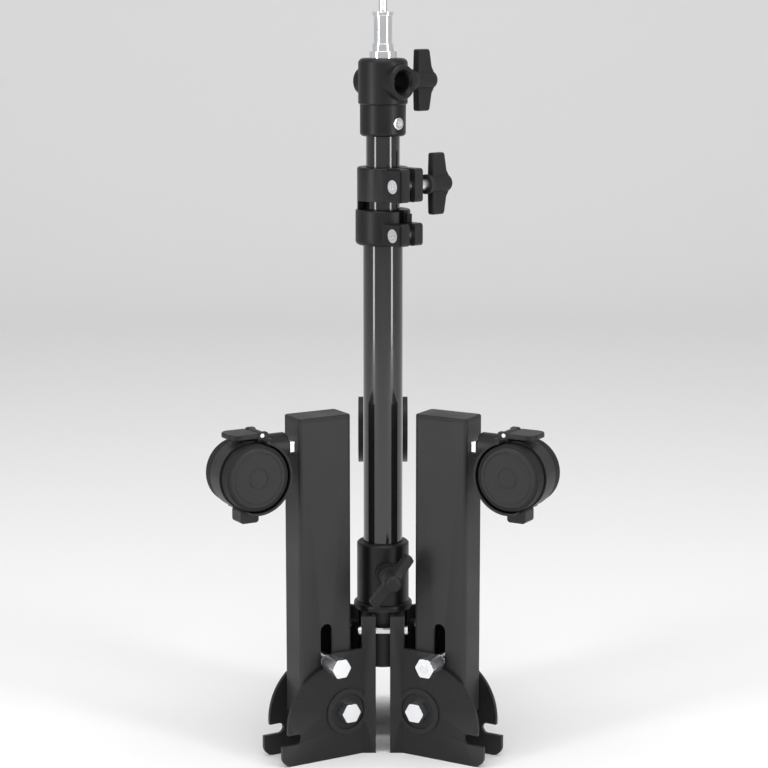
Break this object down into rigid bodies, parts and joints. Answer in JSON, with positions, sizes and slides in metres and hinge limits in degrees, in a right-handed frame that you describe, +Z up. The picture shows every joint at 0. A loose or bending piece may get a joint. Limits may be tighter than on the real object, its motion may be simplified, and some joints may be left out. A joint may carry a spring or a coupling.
{
  "type": "c stand",
  "caption": "Compact rolling light stand, folded, with a telescopic column, clamp head with a spigot and hinged legs on twin-wheel casters.",
  "frame": {"origin": "on the column's axis, level with the bottom edges of the leg brackets", "axes": "+Z up the column; one folded leg lies towards +Y, the other two towards -Y on each side"},
  "size_m": [0.2632, 0.2294, 0.5755],
  "materials": {
    "frame_paint": "satin",
    "tube_gloss": "gloss",
    "casting": "satin",
    "knob_plastic": "matte",
    "caster_plastic": "satin",
    "wheel_plastic": "satin",
    "tread_rubber": "matte",
    "zinc_steel": "satin",
    "chrome": "polished"
  },
  "bodies": {
    "base": {"hub_tube": "frame_paint", "base_socket": "casting", "side_plates_1": "frame_paint", "side_plates_2": "frame_paint", "side_plates_3": "frame_paint", "pivot_bolts": "zinc_steel", "tie_bolts": "zinc_steel"},
    "leg_1": {"leg_tube_1": "frame_paint", "leg_cap_1": "frame_paint", "spring_anchor_1": "zinc_steel", "caster_stem_1": "chrome", "lock_spring_1": "zinc_steel"},
    "lock_1": {"lock_bolt_1": "zinc_steel"},
    "caster_1": {"caster_body_1": "caster_plastic", "caster_axle_1": "zinc_steel"},
    "brake_1": {"brake_lever_1": "caster_plastic"},
    "roller_1a": {"wheel_1a": "wheel_plastic", "tread_1a": "tread_rubber"},
    "roller_1b": {"wheel_1b": "wheel_plastic", "tread_1b": "tread_rubber"},
    "leg_2": {"leg_tube_2": "frame_paint", "leg_cap_2": "frame_paint", "spring_anchor_2": "zinc_steel", "caster_stem_2": "chrome", "lock_spring_2": "zinc_steel"},
    "lock_2": {"lock_bolt_2": "zinc_steel"},
    "caster_2": {"caster_body_2": "caster_plastic", "caster_axle_2": "zinc_steel"},
    "brake_2": {"brake_lever_2": "caster_plastic"},
    "roller_2a": {"wheel_2a": "wheel_plastic", "tread_2a": "tread_rubber"},
    "roller_2b": {"wheel_2b": "wheel_plastic", "tread_2b": "tread_rubber"},
    "leg_3": {"leg_tube_3": "frame_paint", "leg_cap_3": "frame_paint", "spring_anchor_3": "zinc_steel", "caster_stem_3": "chrome", "lock_spring_3": "zinc_steel"},
    "lock_3": {"lock_bolt_3": "zinc_steel"},
    "caster_3": {"caster_body_3": "caster_plastic", "caster_axle_3": "zinc_steel"},
    "brake_3": {"brake_lever_3": "caster_plastic"},
    "roller_3a": {"wheel_3a": "wheel_plastic", "tread_3a": "tread_rubber"},
    "roller_3b": {"wheel_3b": "wheel_plastic", "tread_3b": "tread_rubber"},
    "column": {"column_tube": "tube_gloss", "collar": "casting", "collar_screws": "zinc_steel"},
    "riser": {"riser_tube": "tube_gloss", "guide_bush": "caster_plastic", "head": "casting", "head_screw": "chrome", "spigot": "chrome"},
    "head_clamp": {"head_knob": "knob_plastic", "head_knob_stud": "zinc_steel"},
    "collar_clamp": {"collar_knob": "knob_plastic", "collar_knob_stud": "zinc_steel"},
    "base_clamp": {"base_knob": "knob_plastic", "base_knob_stud": "zinc_steel"}
  },
  "joints": [
    {"name": "leg_fold_1", "type": "hinge", "parent": "base", "child": "leg_1", "pos_m": [-0.03551, -0.0205, 0.036], "axis": [0.5, -0.866, 0], "range_deg": [0, 90]},
    {"name": "lock_slide_1", "type": "slide", "parent": "leg_1", "child": "lock_1", "axis": [0, 0, 1], "range_m": [0, 0.0125], "deforming": ["lock_spring_1"]},
    {"name": "caster_swivel_1", "type": "hinge", "parent": "leg_1", "child": "caster_1", "pos_m": [-0.07794, -0.045, 0.2455], "axis": [-0.866, -0.5, 0], "continuous": true},
    {"name": "wheel_spin_1a", "type": "hinge", "parent": "caster_1", "child": "roller_1a", "pos_m": [-0.10098, -0.0583, 0.2275], "axis": [0.5, -0.866, 0], "continuous": true},
    {"name": "wheel_spin_1b", "type": "hinge", "parent": "caster_1", "child": "roller_1b", "pos_m": [-0.10098, -0.0583, 0.2275], "axis": [0.5, -0.866, 0], "continuous": true},
    {"name": "brake_1_press", "type": "hinge", "parent": "caster_1", "child": "brake_1", "pos_m": [-0.0944, -0.0545, 0.2576], "axis": [0.5, -0.866, 0], "range_deg": [0, 7]},
    {"name": "leg_fold_2", "type": "hinge", "parent": "base", "child": "leg_2", "pos_m": [0.03551, -0.0205, 0.036], "axis": [0.5, 0.866, 0], "range_deg": [0, 90]},
    {"name": "lock_slide_2", "type": "slide", "parent": "leg_2", "child": "lock_2", "axis": [0, 0, 1], "range_m": [0, 0.0125], "deforming": ["lock_spring_2"]},
    {"name": "caster_swivel_2", "type": "hinge", "parent": "leg_2", "child": "caster_2", "pos_m": [0.07794, -0.045, 0.2455], "axis": [0.866, -0.5, 0], "continuous": true},
    {"name": "wheel_spin_2a", "type": "hinge", "parent": "caster_2", "child": "roller_2a", "pos_m": [0.10098, -0.0583, 0.2275], "axis": [0.5, 0.866, 0], "continuous": true},
    {"name": "wheel_spin_2b", "type": "hinge", "parent": "caster_2", "child": "roller_2b", "pos_m": [0.10098, -0.0583, 0.2275], "axis": [0.5, 0.866, 0], "continuous": true},
    {"name": "brake_2_press", "type": "hinge", "parent": "caster_2", "child": "brake_2", "pos_m": [0.0944, -0.0545, 0.2576], "axis": [0.5, 0.866, 0], "range_deg": [0, 7]},
    {"name": "leg_fold_3", "type": "hinge", "parent": "base", "child": "leg_3", "pos_m": [0, 0.041, 0.036], "axis": [-1, 0, 0], "range_deg": [0, 90]},
    {"name": "lock_slide_3", "type": "slide", "parent": "leg_3", "child": "lock_3", "axis": [0, 0, 1], "range_m": [0, 0.0125], "deforming": ["lock_spring_3"]},
    {"name": "caster_swivel_3", "type": "hinge", "parent": "leg_3", "child": "caster_3", "pos_m": [0, 0.09, 0.2455], "axis": [0, 1, 0], "continuous": true},
    {"name": "wheel_spin_3a", "type": "hinge", "parent": "caster_3", "child": "roller_3a", "pos_m": [0, 0.1166, 0.2275], "axis": [-1, 0, 0], "continuous": true},
    {"name": "wheel_spin_3b", "type": "hinge", "parent": "caster_3", "child": "roller_3b", "pos_m": [0, 0.1166, 0.2275], "axis": [-1, 0, 0], "continuous": true},
    {"name": "brake_3_press", "type": "hinge", "parent": "caster_3", "child": "brake_3", "pos_m": [0, 0.109, 0.2576], "axis": [-1, 0, 0], "range_deg": [0, 7]},
    {"name": "column_lift", "type": "slide", "parent": "base", "child": "column", "axis": [0, 0, 1], "range_m": [0, 0.05]},
    {"name": "riser_slide", "type": "slide", "parent": "column", "child": "riser", "axis": [0, 0, 1], "range_m": [-0.02, 0.25]},
    {"name": "head_knob_turn", "type": "hinge", "parent": "riser", "child": "head_clamp", "pos_m": [0, 0, 0.5136], "axis": [0.7193, 0.6947, 0], "continuous": true},
    {"name": "collar_knob_turn", "type": "hinge", "parent": "column", "child": "collar_clamp", "pos_m": [0.01702, -0.01762, 0.4374], "axis": [0.7193, 0.6947, 0], "continuous": true},
    {"name": "base_knob_turn", "type": "hinge", "parent": "base", "child": "base_clamp", "pos_m": [0, 0, 0.142], "axis": [0.1392, -0.9903, 0], "continuous": true}
  ],
  "couplings": [
    {"joint": "lock_slide_1", "follows": "leg_fold_1", "m_per_rad": 0.0079576},
    {"joint": "lock_slide_2", "follows": "leg_fold_2", "m_per_rad": 0.0079576},
    {"joint": "lock_slide_3", "follows": "leg_fold_3", "m_per_rad": 0.0079576}
  ]
}
